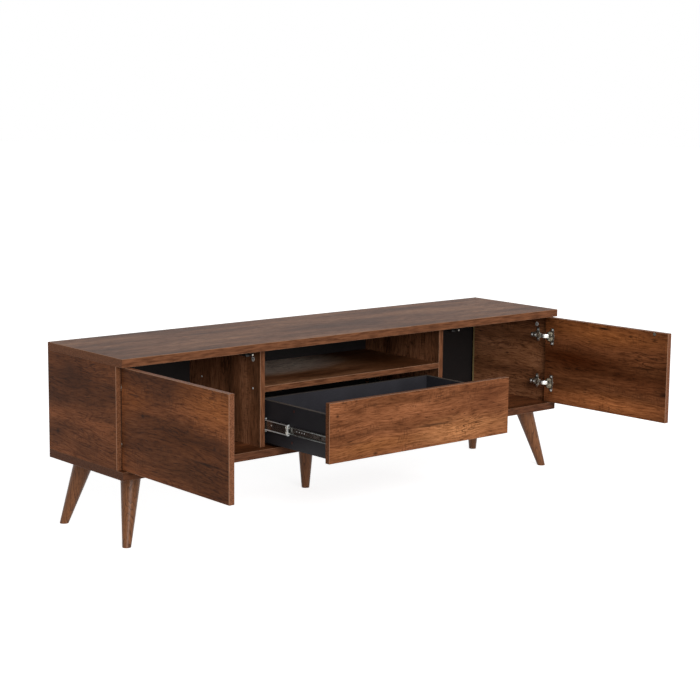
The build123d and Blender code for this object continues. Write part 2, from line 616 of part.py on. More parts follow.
with BuildPart() as drawer_dowels:
    for side in (-1, 1):
        for z in dowel_heights:
            shank((side * dowel_x, drawer_y - DOWEL_GRIP, z), BACKWARD, DOWEL_D, 3 * DOWEL_GRIP)
write(drawer_dowels, "drawer_dowels")

with BuildPart() as drawer_screws:
    for side in (-1, 1):
        for z in dowel_heights:
            place = (side * box_x, box_back_y - DRAWER_BOARD / 2, z)
            shank(place, (-side, 0, 0), SCREW_D, DRAWER_BOARD + 2 * HINGE_SCREW_GRIP)
write(drawer_screws, "drawer_screws")


def slide_channel(height, web_x, web_side, flange_low, flange_high, front, length, lip=0.0):
    """One rolled member of a slide: a web with two flanges, and lips where it holds the balls."""
    web_end = web_x + web_side * SLIDE_STEEL
    block((web_x, front, slide_z - height / 2), (web_end, front + length, slide_z + height / 2))
    for side in (-1, 1):
        rim = slide_z + side * height / 2
        inner = rim - side * SLIDE_STEEL
        block((flange_low, front, inner), (flange_high, front + length, rim))
        if lip:
            block((flange_low, front, inner), (flange_low + SLIDE_STEEL, front + length, inner - side * lip))


# Telescopic slides, right side: outer member on the divider, middle, inner on the drawer.
# Distances across the slide are measured from the divider's face.
outer_front = EDGE_Y + SLIDE_SETBACK
middle_front = EDGE_Y + SLIDE_MID_SETBACK - DRAWER_OUT / 2
OUTER_FLANGE = 9.5
MIDDLE_WEB = 4.2
MIDDLE_FLANGE = (2.6, 10.2)
INNER_FLANGE = 7.0
OUTER_LIP = 2.0

with BuildPart() as slide_outer:
    flange_x = DIVIDER_X - OUTER_FLANGE
    slide_channel(SLIDE_HEIGHT, DIVIDER_X, -1, flange_x, DIVIDER_X, outer_front, SLIDE_LENGTH, OUTER_LIP)
    for y in slide_screw_rows:
        shank_hole((DIVIDER_X - SLIDE_STEEL, y, slide_z), OUTWARD, SCREW_D, SLIDE_STEEL)
write_pair(slide_outer, "slide_outer")

with BuildPart() as slide_middle:
    web_x = DIVIDER_X - MIDDLE_WEB
    near, far = (DIVIDER_X - reach for reach in MIDDLE_FLANGE)
    slide_channel(SLIDE_MID_HEIGHT, web_x, -1, far, near, middle_front, SLIDE_MID_LENGTH)
write_pair(slide_middle, "slide_middle")

with BuildPart() as slide_inner:
    slide_channel(SLIDE_IN_HEIGHT, box_x, 1, box_x, DIVIDER_X - INNER_FLANGE, inner_front, inner_length)
    for y in drawer_screw_rows:
        shank_hole((box_x + SLIDE_STEEL, y, slide_z), INWARD, SCREW_D, SLIDE_STEEL)
write_pair(slide_inner, "slide_inner")

# End stop pressed on the front of each middle member
with BuildPart() as slide_stop:
    stop_y = middle_front - SLIDE_STEEL
    stop_half = SLIDE_MID_HEIGHT / 2
    block((far, stop_y, slide_z - stop_half), (near, middle_front, slide_z + stop_half))
    clear = SLIDE_IN_HEIGHT / 2 + SIDE_PLAY
    block((far, stop_y, slide_z - clear), (web_x - SLIDE_STEEL, middle_front, slide_z + clear), Mode.SUBTRACT)
write_both(slide_stop, "slide_stops")

with BuildPart() as divider_screws:
    for y in slide_screw_rows:
        screw((DIVIDER_X - SLIDE_STEEL, y, slide_z), OUTWARD, SLIDE_STEEL + HINGE_SCREW_GRIP)
write_both(divider_screws, "slide_screws")

with BuildPart() as box_screws:
    for y in drawer_screw_rows:
        screw((box_x + SLIDE_STEEL, y, slide_z), INWARD, DRAWER_BOARD - 2 * FLANGE)
write_both(box_screws, "runner_screws")
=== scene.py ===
# %% [markdown]
# # A low tv stand with doors
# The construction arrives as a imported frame: boards, hinges, slides and screws already stand in
# their places, in metres. This lesson gives them their finishes, adds the small turned pieces
# that show close up, and sets the stage. It could all be modelled again here, but keeping the
# frame's own solids means that every hole, gap and hinge stays exactly where it works.

# %% Load the frame
import math

import bmesh
import bpy
import numpy as np
from mathutils import Matrix, Vector


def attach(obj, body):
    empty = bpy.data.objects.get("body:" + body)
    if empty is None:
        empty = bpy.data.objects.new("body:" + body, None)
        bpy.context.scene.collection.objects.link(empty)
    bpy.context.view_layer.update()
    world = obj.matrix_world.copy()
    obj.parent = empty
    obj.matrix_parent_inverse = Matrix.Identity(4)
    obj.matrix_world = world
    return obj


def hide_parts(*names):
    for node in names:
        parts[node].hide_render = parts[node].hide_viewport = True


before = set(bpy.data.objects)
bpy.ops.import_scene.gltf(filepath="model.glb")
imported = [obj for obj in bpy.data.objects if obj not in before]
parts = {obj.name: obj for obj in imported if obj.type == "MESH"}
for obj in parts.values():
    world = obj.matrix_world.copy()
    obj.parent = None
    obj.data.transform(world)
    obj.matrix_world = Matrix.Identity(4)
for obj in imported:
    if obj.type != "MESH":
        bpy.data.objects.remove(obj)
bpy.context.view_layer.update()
SIDES = ("left", "right")

# %% [markdown]
# ## Helpers for finishes
# Colours are written as the hex values that an eye would pick from a screen, and one function
# turns them into the linear light that shaders work in. Another adds one node, sets its
# properties and fills its sockets, so that a finish reads as a list of what is in it.


# %% Colour and node helpers
def paint(hex_code):
    """An sRGB hex colour as linear RGBA."""
    channels = [int(hex_code[i : i + 2], 16) / 255 for i in (1, 3, 5)]
    linear = [c / 12.92 if c <= 0.04045 else ((c + 0.055) / 1.055) ** 2.4 for c in channels]
    return (*linear, 1.0)


def add(tree, kind, inputs=None, stops=None, **settings):
    """Adds a node with its settings, socket values or links, and colour stops."""
    made = tree.nodes.new("ShaderNode" + kind)
    for name, value in settings.items():
        setattr(made, name, value)
    for key, value in (inputs or {}).items():
        if isinstance(value, bpy.types.NodeSocket):
            tree.links.new(value, made.inputs[key])
        else:
            made.inputs[key].default_value = value
    for i, (at, colour) in enumerate(stops or []):
        ramp = made.color_ramp.elements
        stop = ramp[i] if i < 2 else ramp.new(at)
        stop.position = at
        stop.color = paint(colour)
    return made


# %% Starting a finish
def new_finish(name, **constants):
    """A material with one Principled shader, and the values that are the same all over it."""
    material = bpy.data.materials.new(name)
    material.use_nodes = True
    tree = material.node_tree
    shader = tree.nodes["Principled BSDF"]
    for socket, value in constants.items():
        shader.inputs[socket.replace("_", " ")].default_value = value
    return material, tree, shader


# %% Noise, tints and ovals
def streaks(tree, place, length_mm, width_mm, detail=2.0, rough=0.55, through_mm=None):
    """Noise drawn out along the grain, from the real size of its marks."""
    through = 1000 / through_mm if through_mm else 0.0
    per_metre = (1000 / length_mm, 1000 / width_mm, through)
    sized = add(tree, "VectorMath", {0: place, 1: per_metre}, operation="MULTIPLY")
    inputs = {"Vector": sized.outputs[0], "Scale": 1.0, "Detail": detail, "Roughness": rough}
    return add(tree, "TexNoise", inputs).outputs[0]


def tint(tree, share, colour, over, blend_type="MIX"):
    """Lays one colour over another, by a share from 0 to 1."""
    inputs = {0: share, 6: colour, 7: over}
    return add(tree, "Mix", inputs, data_type="RGBA", blend_type=blend_type).outputs[2]


def oval(tree, place, centre, reach, soft):
    """1 in the middle of an oval on the board and 0 outside it, with a soft rim."""
    moved = add(tree, "VectorMath", {0: place, 1: (*centre, 0.0)}, operation="SUBTRACT")
    per_reach = (1 / reach[0], 1 / reach[1], 0.0)
    sized = add(tree, "VectorMath", {0: moved.outputs[0], 1: per_reach}, operation="MULTIPLY")
    far = add(tree, "VectorMath", {0: sized.outputs[0]}, operation="LENGTH").outputs["Value"]
    return add(tree, "MapRange", {0: far, 1: 1.0 - soft, 2: 1.0, 3: 1.0, 4: 0.0}).outputs[0]


# %% Dressing a frame piece
def dress(material, *names):
    """Gives frame pieces a finish."""
    for name in names:
        slots = parts[name].data.materials
        slots.clear()
        slots.append(material)


# %% [markdown]
# ## Wood print on melamine board
# The boards are chipboard under a printed melamine paper: an aged, knotty wood with slow dark
# and light bands, fine fibre, short cracks and saw marks, pressed with a satin texture. An image
# would be the usual way. Noise stretched along the grain gives the same marks without one and
# never repeats, each board takes its own place in the pattern, as cut boards do, and the few
# marks that catch the eye, such as a knot or a long crack, are listed as soft ovals. Each
# kind of mark has a small function of its own, and a board's finish calls them one by one.


# %% Where a point lies on its board
# each word names the axes along the grain, across it and through the board
LENGTHWISE = "XYZ"
DEPTHWISE = "YZX"
UPRIGHT = "ZYX"
ALONG_FRONT = "XZY"


def on_board(tree, coords, order, turn, about):
    """A point's metres along, across and through its board, turned back to lie square, and its axes."""
    turned = {0: coords.outputs["Object"], "Center": about, "Angle": math.radians(turn)}
    squared = add(tree, "VectorRotate", turned, rotation_type="Z_AXIS")
    axes = add(tree, "SeparateXYZ", {0: squared.outputs[0]})
    in_order = {i: axes.outputs[axis] for i, axis in enumerate(order)}
    return add(tree, "CombineXYZ", in_order).outputs[0], axes


def drifting(tree, board, place):
    """The place pushed sideways by a few centimetres, as grain drifts, and the board pushed loosely."""
    wander = add(tree, "VectorMath", {0: place, 1: (3.0, 9.0, 0.0)}, operation="MULTIPLY")
    drift = add(tree, "TexNoise", {"Vector": wander.outputs[0], "Scale": 1.0, "Detail": 2.0})
    either_way = {0: drift.outputs["Color"], 1: (0.5, 0.5, 0.5)}
    drift = add(tree, "VectorMath", either_way, operation="SUBTRACT").outputs[0]
    pushed = {0: drift, 1: (0.0, 0.07, 0.0), 2: place}
    grain = add(tree, "VectorMath", pushed, operation="MULTIPLY_ADD").outputs[0]
    pushed = {0: drift, 1: (0.08, 0.03, 0.0), 2: board}
    return grain, add(tree, "VectorMath", pushed, operation="MULTIPLY_ADD").outputs[0]


# %% [markdown]
# ### Colour of the wood
# Slow bands of dark and light wood lie under everything, and broad tinges are laid over
# them. Streaks and fibre could be mixed in as colours of their own. They are multiplied in
# instead, because then they darken every tone alike.


# %% Bands, streaks and fibre
def marked(tree, place, colour, marks):
    """Lays soft oval marks over a colour."""
    for along, across, half_length, half_width, shade, strength, soft in marks:
        spread = oval(tree, place, (along, across), (half_length, half_width), soft)
        share = add(tree, "Math", {0: spread, 1: strength}, operation="MULTIPLY").outputs[0]
        colour = tint(tree, share, colour, paint(shade))
    return colour


def banded(tree, grain, loose, tones, tinged):
    """Bands 80 mm wide, and the broad tinges."""
    band = streaks(tree, grain, 560, 80, 4.0, 0.6)
    dark, middle, light = tones
    stops = [(0.34, dark), (0.66, light), (0.5, middle)]
    colour = add(tree, "ValToRGB", {0: band}, stops).outputs[0]
    return marked(tree, loose, colour, tinged)


def fibred(tree, grain, colour):
    """Streaks 8 mm wide, and fibre drawn 3.5 mm wide, as coarse as it needs to show."""
    ray = streaks(tree, grain, 120, 8, 4.0, 0.62)
    stops = [(0.32, "#b9afa6"), (0.66, "#ffffff"), (0.48, "#ece7e2")]
    ray = add(tree, "ValToRGB", {0: ray}, stops).outputs[0]
    colour = tint(tree, 0.9, colour, ray, "MULTIPLY")
    fibre = streaks(tree, grain, 40, 3.5, 5.0, 0.7)
    stops = [(0.36, "#9a9087"), (0.62, "#ffffff"), (0.48, "#e3dcd6")]
    thread = add(tree, "ValToRGB", {0: fibre}, stops).outputs[0]
    return tint(tree, 0.95, colour, thread, "MULTIPLY"), fibre


# %% [markdown]
# ### Rings, cracks and saw marks
# Growth rings are the contour lines of a slow noise, cracks are the peaks of a stretched one, and
# saw marks are short ticks across the grain. Drawn all over they would look like cloth, so each
# shows only in patches, picked out by a slower noise or, where the eye looks first, by an oval.


# %% Rings, cracks and saw marks
def ringed(tree, place, grain, loose, colour, figured, rings_at):
    """Growth rings: thin dark lines about 10 mm apart, darker where an oval calls for them."""
    hill = streaks(tree, grain, 150, 36, 2.5, 0.55)
    rise = add(tree, "Math", {0: hill, 1: 9.0}, operation="MULTIPLY")
    ring = add(tree, "Math", {0: rise.outputs[0]}, operation="FRACT")
    ink = "#3a2418" if rings_at else "#54392a"
    line_stops = [(0.0, ink), (1.0, ink), (0.22, "#ffffff"), (0.78, "#ffffff")]
    line = add(tree, "ValToRGB", {0: ring.outputs[0]}, line_stops).outputs[0]
    if rings_at:
        here = oval(tree, loose, *rings_at, 0.7)
        shown = add(tree, "Math", {0: here, 1: 0.9}, operation="MULTIPLY").outputs[0]
    else:
        figure = streaks(tree, place, 220, 70, 2.0)
        shown = add(tree, "MapRange", {0: figure, 1: 0.47, 2: 0.60, 3: 0.0, 4: figured}).outputs[0]
    return tint(tree, shown, colour, line, "MULTIPLY")


def cracked(tree, place, grain, colour, cracking):
    """Short cracks, drawn 4.6 mm wide to show, and crowded in some places."""
    slit = streaks(tree, grain, 46, 4.6, 3.0, 0.55)
    crowd = streaks(tree, place, 200, 75, 3.0)
    bar = add(tree, "MapRange", {0: crowd, 1: 0.35, 2: 0.66, 3: 0.70, 4: 0.61}).outputs[0]
    above = add(tree, "Math", {0: slit, 1: bar}, operation="SUBTRACT").outputs[0]
    crack = add(tree, "MapRange", {0: above, 1: 0.0, 2: 0.03, 3: 0.0, 4: cracking}).outputs[0]
    return tint(tree, crack, colour, paint("#2a150b")), crack


def saw_marked(tree, place, colour, sawn):
    """Saw marks 20 mm long across the grain, drawn 6.5 mm apart to show, in patches."""
    tick = streaks(tree, place, 6.5, 20, 3.0, 0.6)
    cut = add(tree, "MapRange", {0: tick, 1: 0.50, 2: 0.62, 3: 0.0, 4: sawn}).outputs[0]
    rough_sawn = streaks(tree, place, 120, 60, 2.0)
    there = add(tree, "MapRange", {0: rough_sawn, 1: 0.50, 2: 0.62, 3: 0.0, 4: 1.0}).outputs[0]
    saw = add(tree, "Math", {0: cut, 1: there}, operation="MULTIPLY").outputs[0]
    return tint(tree, saw, colour, paint("#3d2213"))


# %% [markdown]
# ### Edges
# A plastic band is glued to the cut edges. It is plainer and redder than the face, with short fine
# streaks, and its corner carries a paler line, a painted highlight. A side is left raw where it was
# cut away for the back sheet, and shows a pale strip of chipboard. The normal and the place find
# them, so that a board stays one piece with one finish.

# %% Edge band and raw strip
RAW_BEHIND_Y = 0.1065
RAW_WITHIN_X = 0.895


def edged(tree, coords, through_axis, place, colour, edges):
    """The edge band, and a painted highlight: a paler corner where the normal points halfway."""
    edge_dark, edge_light, painted_arris_highlight = edges
    strand = streaks(tree, place, 45, 4.0, 4.0, 0.65, 4.0)
    stops = [(0.38, edge_dark), (0.62, edge_light)]
    band_colour = add(tree, "ValToRGB", {0: strand}, stops).outputs[0]
    facing = add(tree, "SeparateXYZ", {0: coords.outputs["Normal"]})
    through = add(tree, "Math", {0: facing.outputs[through_axis]}, operation="ABSOLUTE").outputs[0]
    is_edge = add(tree, "Math", {0: through, 1: 0.5}, operation="LESS_THAN").outputs[0]
    colour = tint(tree, is_edge, colour, band_colour)
    is_arris = add(tree, "Math", {0: through, 1: 0.707, 2: 0.15}, operation="COMPARE").outputs[0]
    return tint(tree, is_arris, colour, paint(painted_arris_highlight))


def raw_at_back(tree, board, axes, colour):
    """Raw chipboard at the back, with chips 3 mm across, but not on a side's outer face."""
    at_back = {0: axes.outputs["Y"], 1: RAW_BEHIND_Y}
    at_back = add(tree, "Math", at_back, operation="GREATER_THAN").outputs[0]
    off_middle = add(tree, "Math", {0: axes.outputs["X"]}, operation="ABSOLUTE").outputs[0]
    inside = add(tree, "Math", {0: off_middle, 1: RAW_WITHIN_X}, operation="LESS_THAN").outputs[0]
    bare = add(tree, "Math", {0: at_back, 1: inside}, operation="MULTIPLY").outputs[0]
    crumb = streaks(tree, board, 3.0, 3.0, 2.0, 0.6, 3.0)
    chips = add(tree, "ValToRGB", {0: crumb}, [(0.35, "#8f7a50"), (0.65, "#c4ad7c")]).outputs[0]
    return tint(tree, bare, colour, chips)


# %% A printed board
def wood_print(
    name, order, seed, tones, edges, tinged=(), marks=(), turn=0.0, about=(0, 0, 0),
    cracking=0.8, sawn=0.45, figured=0.6, rings_at=None,
):
    """Satin melamine: hardly any reflection face on, a soft grey sheen at a low angle."""
    material, tree, shader = new_finish(name, IOR=1.5, Specular_IOR_Level=0.035)
    coords = add(tree, "TexCoord")
    board, axes = on_board(tree, coords, order, turn, about)
    place = add(tree, "VectorMath", {0: board, 1: seed}, operation="ADD").outputs[0]
    grain, loose = drifting(tree, board, place)
    colour = banded(tree, grain, loose, tones, tinged)
    colour, fibre = fibred(tree, grain, colour)
    colour = ringed(tree, place, grain, loose, colour, figured, rings_at)
    colour, crack = cracked(tree, place, grain, colour, cracking)
    colour = saw_marked(tree, place, colour, sawn)
    colour = marked(tree, board, colour, marks)
    colour = edged(tree, coords, order[2], place, colour, edges)
    if order == DEPTHWISE:
        colour = raw_at_back(tree, board, axes, colour)

    # the pressed texture follows the print
    sheen = add(tree, "MapRange", {0: fibre, 1: 0.3, 2: 0.7, 3: 0.50, 4: 0.36}).outputs[0]
    depth = add(tree, "Math", {0: fibre, 1: crack}, operation="SUBTRACT").outputs[0]
    relief = add(tree, "Bump", {"Height": depth, "Strength": 0.15, "Distance": 0.0005})
    tree.links.new(colour, shader.inputs["Base Color"])
    tree.links.new(sheen, shader.inputs["Roughness"])
    tree.links.new(relief.outputs[0], shader.inputs["Normal"])
    return material


# %% [markdown]
# ## The boards
# Every board gets its own stretch of the print. The grain runs along the top, bottom, shelf and
# drawer front, from hinge to free edge on the doors, front to back on the sides, and up the
# dividers. The doors stand a little off square, so their pattern is turned back to lie straight.
# Each mark is a place along and across the board, its half length and half width in metres, its
# colour, its strength and how soft its rim is.

# %% Tones and marks of each board
WARM = ("#5a341d", "#7f4e30", "#a06440")
DARK = ("#4e2c19", "#70442a", "#8d5838")
LIGHT = ("#6b4127", "#925d3d", "#b57751")
PAINTED_LIGHT_PALE = ("#82553a", "#b07954", "#d2966f")
# paler tones for the right side: painted light, standing in for the light on its wall in the right bay
DIM = ("#664530", "#8b5e42", "#ab7858")
DEEP = ("#573621", "#7d5439", "#a07556")
# each band: a dark and a light edge tone, and a paler tone on the corner that is a painted highlight
BAND = ("#553422", "#7f5238", "#9c765e")
LOW_BAND = ("#43281a", "#66402c", "#82604a")
DOOR_BAND = ("#5f3b28", "#8b5b41", "#a98268")
PITH = "#1e0f08"
SMUDGE = "#4a2815"

left_door_tinges = [
    (-0.720, 0.485, 0.220, 0.090, "#c67c47", 0.80, 0.9),
    (-0.330, 0.450, 0.110, 0.070, "#96592f", 0.80, 0.9),
    (-0.560, 0.370, 0.260, 0.060, "#633819", 0.60, 0.9),
    (-0.600, 0.285, 0.360, 0.065, "#5a351c", 0.80, 0.8),
    (-0.370, 0.408, 0.075, 0.030, SMUDGE, 0.50, 1.0),
]
left_door_marks = [
    (-0.370, 0.408, 0.012, 0.009, PITH, 0.90, 0.9),
    (-0.327, 0.461, 0.042, 0.0045, PITH, 0.70, 0.9),
    (-0.672, 0.324, 0.100, 0.006, PITH, 0.80, 0.9),
    (-0.592, 0.402, 0.008, 0.007, PITH, 0.60, 0.9),
    (-0.718, 0.374, 0.009, 0.008, PITH, 0.70, 0.9),
]
right_door_tinges = [
    (-0.520, 0.500, 0.340, 0.055, "#c47a45", 0.80, 0.9),
    (-0.400, 0.400, 0.330, 0.060, "#55260e", 0.85, 0.9),
    (-0.680, 0.350, 0.170, 0.045, "#5c2a11", 0.45, 0.9),
    (-0.550, 0.262, 0.340, 0.045, "#e39058", 0.80, 0.9),
    (-0.765, 0.330, 0.060, 0.026, PITH, 0.60, 1.0),
]
right_door_marks = [
    (-0.516, 0.519, 0.036, 0.006, PITH, 0.95, 0.7),
    (-0.631, 0.505, 0.014, 0.006, PITH, 0.80, 0.8),
    (-0.775, 0.325, 0.018, 0.011, PITH, 0.85, 1.0),
]
drawer_tinges = [
    (0.160, 0.270, 0.280, 0.060, "#df9c68", 0.80, 0.9),
    (-0.200, 0.262, 0.250, 0.035, "#b97a49", 0.60, 0.9),
    (0.290, 0.365, 0.150, 0.085, "#75462c", 0.90, 0.9),
]
drawer_marks = [
    (-0.341, 0.372, 0.008, 0.007, PITH, 0.85, 0.9),
    (-0.197, 0.389, 0.012, 0.008, PITH, 0.55, 1.0),
    (-0.260, 0.373, 0.034, 0.012, SMUDGE, 0.60, 1.0),
    (0.050, 0.300, 0.120, 0.0060, PITH, 0.80, 0.9),
    (-0.192, 0.242, 0.012, 0.007, PITH, 0.75, 0.9),
    (-0.282, 0.282, 0.095, 0.0045, PITH, 0.50, 0.9),
]
left_side_tinges = [
    (-0.040, 0.470, 0.320, 0.095, "#4c2912", 0.90, 0.9),
    (0.009, 0.495, 0.060, 0.030, PITH, 0.50, 1.0),
    (0.073, 0.294, 0.060, 0.026, SMUDGE, 0.50, 1.0),
]
left_side_marks = [(0.073, 0.294, 0.014, 0.010, PITH, 0.80, 0.9)]
# on the shelf, the pale grey oval at the back left is a painted sheen, and the dark oval at the right is
# painted shade
shelf_painted_sheen_and_shade = [
    (-0.140, 0.070, 0.340, 0.200, "#f0e2d6", 1.0, 0.6),
    (0.260, -0.060, 0.200, 0.300, "#4a2812", 0.90, 0.8),
]

# %% Each board's print
# a seed moves a board to its own stretch of the print
board_prints = {
    "top_board": dict(
        order=LENGTHWISE, seed=(1.3, 0.4, 0.0), tones=DEEP, cracking=0.3, sawn=0.2, figured=0.35
    ),
    "bottom_board": dict(order=LENGTHWISE, seed=(4.1, 2.7, 0.5), tones=DARK, edges=LOW_BAND),
    "shelf": dict(
        order=LENGTHWISE, seed=(7.9, 1.1, 0.9), tones=DEEP, tinged=shelf_painted_sheen_and_shade, cracking=0.3, sawn=0.2
    ),
    "left_side": dict(
        order=DEPTHWISE, seed=(2.2, 5.3, 1.7), tones=WARM, tinged=left_side_tinges, marks=left_side_marks
    ),
    "right_side": dict(order=DEPTHWISE, seed=(9.6, 3.8, 2.1), tones=PAINTED_LIGHT_PALE),
    "left_divider": dict(order=UPRIGHT, seed=(3.4, 8.2, 1.2), tones=DIM),
    "right_divider": dict(order=UPRIGHT, seed=(6.5, 7.1, 0.4), tones=DIM),
    "left_door": dict(
        order=DEPTHWISE, seed=(5.7, 6.4, 2.9), tones=WARM, tinged=left_door_tinges, marks=left_door_marks,
        turn=0.5, about=(-0.872, -0.270, 0.0), edges=DOOR_BAND,
    ),
    "right_door": dict(
        order=DEPTHWISE, seed=(8.3, 9.2, 0.7), tones=WARM, tinged=right_door_tinges, marks=right_door_marks,
        turn=-3.0, about=(0.872, -0.270, 0.0), edges=DOOR_BAND,
        rings_at=((-0.690, 0.432), (0.110, 0.060)),
    ),
    "drawer_front": dict(
        order=ALONG_FRONT, seed=(0.6, 4.5, 3.3), tones=LIGHT, tinged=drawer_tinges, marks=drawer_marks,
        rings_at=((0.176, 0.282), (0.130, 0.048)),
    ),
}
for board, its_print in board_prints.items():
    dress(wood_print(f"melamine_print_{board}", **{"edges": BAND, **its_print}), board)
print(len(board_prints), "printed boards")

# %% [markdown]
# ## Black sheets and the drawer box
# The back and the drawer's bottom are thin hardboard with a black lacquer, and the drawer box is
# chipboard in black foil. Plain black would look like a hole, so each has the fine mottle of
# pressed fibre or embossed foil in its colour, gloss and relief. The foil's cut upper edges are
# paler, and the normal finds them.


# %% Black finishes
def black_board(name, low, high, rim, grit_mm, gloss):
    """Black lacquer or foil: nearly even, with a fine grit that breaks up the reflection."""
    material, tree, shader = new_finish(name, IOR=1.48, Specular_IOR_Level=0.25)
    coords = add(tree, "TexCoord")
    grit = {"Vector": coords.outputs["Object"], "Scale": 1000 / grit_mm, "Detail": 4.0}
    grit = add(tree, "TexNoise", grit).outputs[0]
    cloud = {"Vector": coords.outputs["Object"], "Scale": 1000 / 90, "Detail": 3.0}
    cloud = add(tree, "TexNoise", cloud).outputs[0]
    mottle = add(tree, "Math", {0: grit, 1: cloud}, operation="ADD")
    half = add(tree, "Math", {0: mottle.outputs[0], 1: 0.5}, operation="MULTIPLY")
    colour = add(tree, "ValToRGB", {0: half.outputs[0]}, [(0.38, low), (0.62, high)]).outputs[0]
    facing = add(tree, "SeparateXYZ", {0: coords.outputs["Normal"]})
    is_rim = add(tree, "Math", {0: facing.outputs["Z"], 1: 0.5}, operation="GREATER_THAN").outputs[0]
    colour = tint(tree, is_rim, colour, paint(rim))
    sheen = add(tree, "MapRange", {0: grit, 1: 0.3, 2: 0.7, 3: gloss + 0.08, 4: gloss - 0.06})
    relief = add(tree, "Bump", {"Height": grit, "Strength": 0.1, "Distance": 0.0003})
    tree.links.new(colour, shader.inputs["Base Color"])
    tree.links.new(sheen.outputs[0], shader.inputs["Roughness"])
    tree.links.new(relief.outputs[0], shader.inputs["Normal"])
    return material


dress(black_board("lacquered_hardboard", "#141111", "#1d1918", "#1d1918", 2.2, 0.55), "back_panel")
dress(black_board("lacquered_drawer_sheet", "#2b2a2e", "#37363b", "#323136", 2.2, 0.5), "drawer_bottom")
box_foil = black_board("black_foil", "#29282c", "#343338", "#4a443f", 1.4, 0.48)
dress(box_foil, "right_drawer_side", "drawer_back", "drawer_dowels")
# the drawer's left wall takes a darker copy of the foil: painted shade
dress(black_board("black_foil_left_wall_painted_shade", "#1f1e21", "#29282b", "#4a443f", 1.4, 0.48), "left_drawer_side")
print("black sheets and drawer box dressed")

# %% [markdown]
# ## Plated metal and moulded plastic
# Hinges are pressed steel under nickel, slides are rolled steel under zinc, cams are cast zinc.
# Plating takes the rolled surface with it, so its gloss varies in long soft brushings. A plain
# mirror would only copy the studio; a little cloud in colour and roughness reads as metal.


# %% Metal and plastic finishes
def plated(name, low, high, gloss, brush=(40, 1.5), metallic=0.9):
    """Plated steel: bright, slightly warm or cool, with faint brushing."""
    material, tree, shader = new_finish(name, Metallic=metallic)
    coords = add(tree, "TexCoord")
    brushed = streaks(tree, coords.outputs["Object"], brush[0], brush[1], 3.0, 0.55, brush[1])
    cloud = add(tree, "TexNoise", {"Vector": coords.outputs["Object"], "Scale": 1000 / 12, "Detail": 2.0})
    colour = add(tree, "ValToRGB", {0: cloud.outputs[0]}, [(0.35, low), (0.65, high)])
    sheen = add(tree, "MapRange", {0: brushed, 1: 0.3, 2: 0.7, 3: gloss - 0.08, 4: gloss + 0.10})
    tree.links.new(colour.outputs[0], shader.inputs["Base Color"])
    tree.links.new(sheen.outputs[0], shader.inputs["Roughness"])
    return material


def moulded(name, low, high, gloss):
    """Moulded ABS: even colour with the faint spark-eroded grain of its mould."""
    material, tree, shader = new_finish(name, IOR=1.53)
    coords = add(tree, "TexCoord")
    grain = add(tree, "TexNoise", {"Vector": coords.outputs["Object"], "Scale": 1000 / 0.8, "Detail": 3.0})
    colour = add(tree, "ValToRGB", {0: grain.outputs[0]}, [(0.35, low), (0.65, high)])
    sheen = add(tree, "MapRange", {0: grain.outputs[0], 1: 0.3, 2: 0.7, 3: gloss - 0.05, 4: gloss + 0.08})
    relief = add(tree, "Bump", {"Height": grain.outputs[0], "Strength": 0.08, "Distance": 0.0002})
    tree.links.new(colour.outputs[0], shader.inputs["Base Color"])
    tree.links.new(sheen.outputs[0], shader.inputs["Roughness"])
    tree.links.new(relief.outputs[0], shader.inputs["Normal"])
    return material


# %% Dress the hardware
# hinges are a warm grey, and their links and the slides' clips nearly white
nickel = plated("nickel_plated_steel", "#a8a296", "#c4beb1", 0.26)
bright_nickel = plated("bright_nickel", "#ece8de", "#f8f5ee", 0.28)
# the slides' webs are a darkened zinc, painted shade; outer rims, stops, dimples and rivets are
# zinc painted nearly white, a painted highlight; inner rims are darker, painted shade
zinc = plated("zinc_plated_steel", "#6d6a66", "#85827d", 0.24)
painted_highlight_zinc = plated("rolled_zinc_edge", "#d6d9d8", "#eceeed", 0.30, (40, 1.5), 0.45)
painted_shade_zinc = plated("painted_shade_zinc_edge", "#8b918f", "#a4aaa8", 0.26)
# cams are matt, as cast, and painted nearly white: a painted highlight where they sit in shade
cast_zinc_painted_highlight = plated("cast_zinc_painted_highlight", "#e4e3df", "#f6f5f2", 0.45, (6, 6), 0.3)
# latch housings are black, like the dots that stand for holes, and plungers a dark grey
black_abs = moulded("black_abs", "#0e0e0f", "#171718", 0.42)
grey_abs = moulded("grey_abs", "#1d1d1f", "#29292b", 0.4)
# cover caps match the darkest wood
brown_abs = moulded("brown_abs", "#33150f", "#411c14", 0.4)
dress(nickel, *[f"{s}_hinge_{kind}" for s in SIDES for kind in ("cups", "arms", "plates")])
dress(bright_nickel, *[f"{s}_hinge_links" for s in SIDES], *[f"{s}_cup_pins" for s in SIDES], "arm_pins")
dress(zinc, *[f"{s}_slide_{kind}" for s in SIDES for kind in ("outer", "middle", "inner")])
dress(nickel, *[f"{s}_strike" for s in SIDES])
dress(painted_highlight_zinc, "slide_stops")
dress(cast_zinc_painted_highlight, "cam_locks", "cam_bolts")
dress(zinc, *[name for name in parts if name.endswith("screws")], "leg_bolts")
dress(black_abs, *[f"{s}_latch_housing" for s in SIDES])
dress(grey_abs, *[f"{s}_latch_plunger" for s in SIDES])
print("hardware dressed")

# %% [markdown]
# ## Rolled edges on the pressed steel
# Sheet metal never has a knife edge: pressing and rolling leave a small radius that catches a
# line of light. The frame's solids have sharp corners, so a weld joins their loose triangles and
# a bevel of 0.4 mm rounds them, without touching the solids themselves.

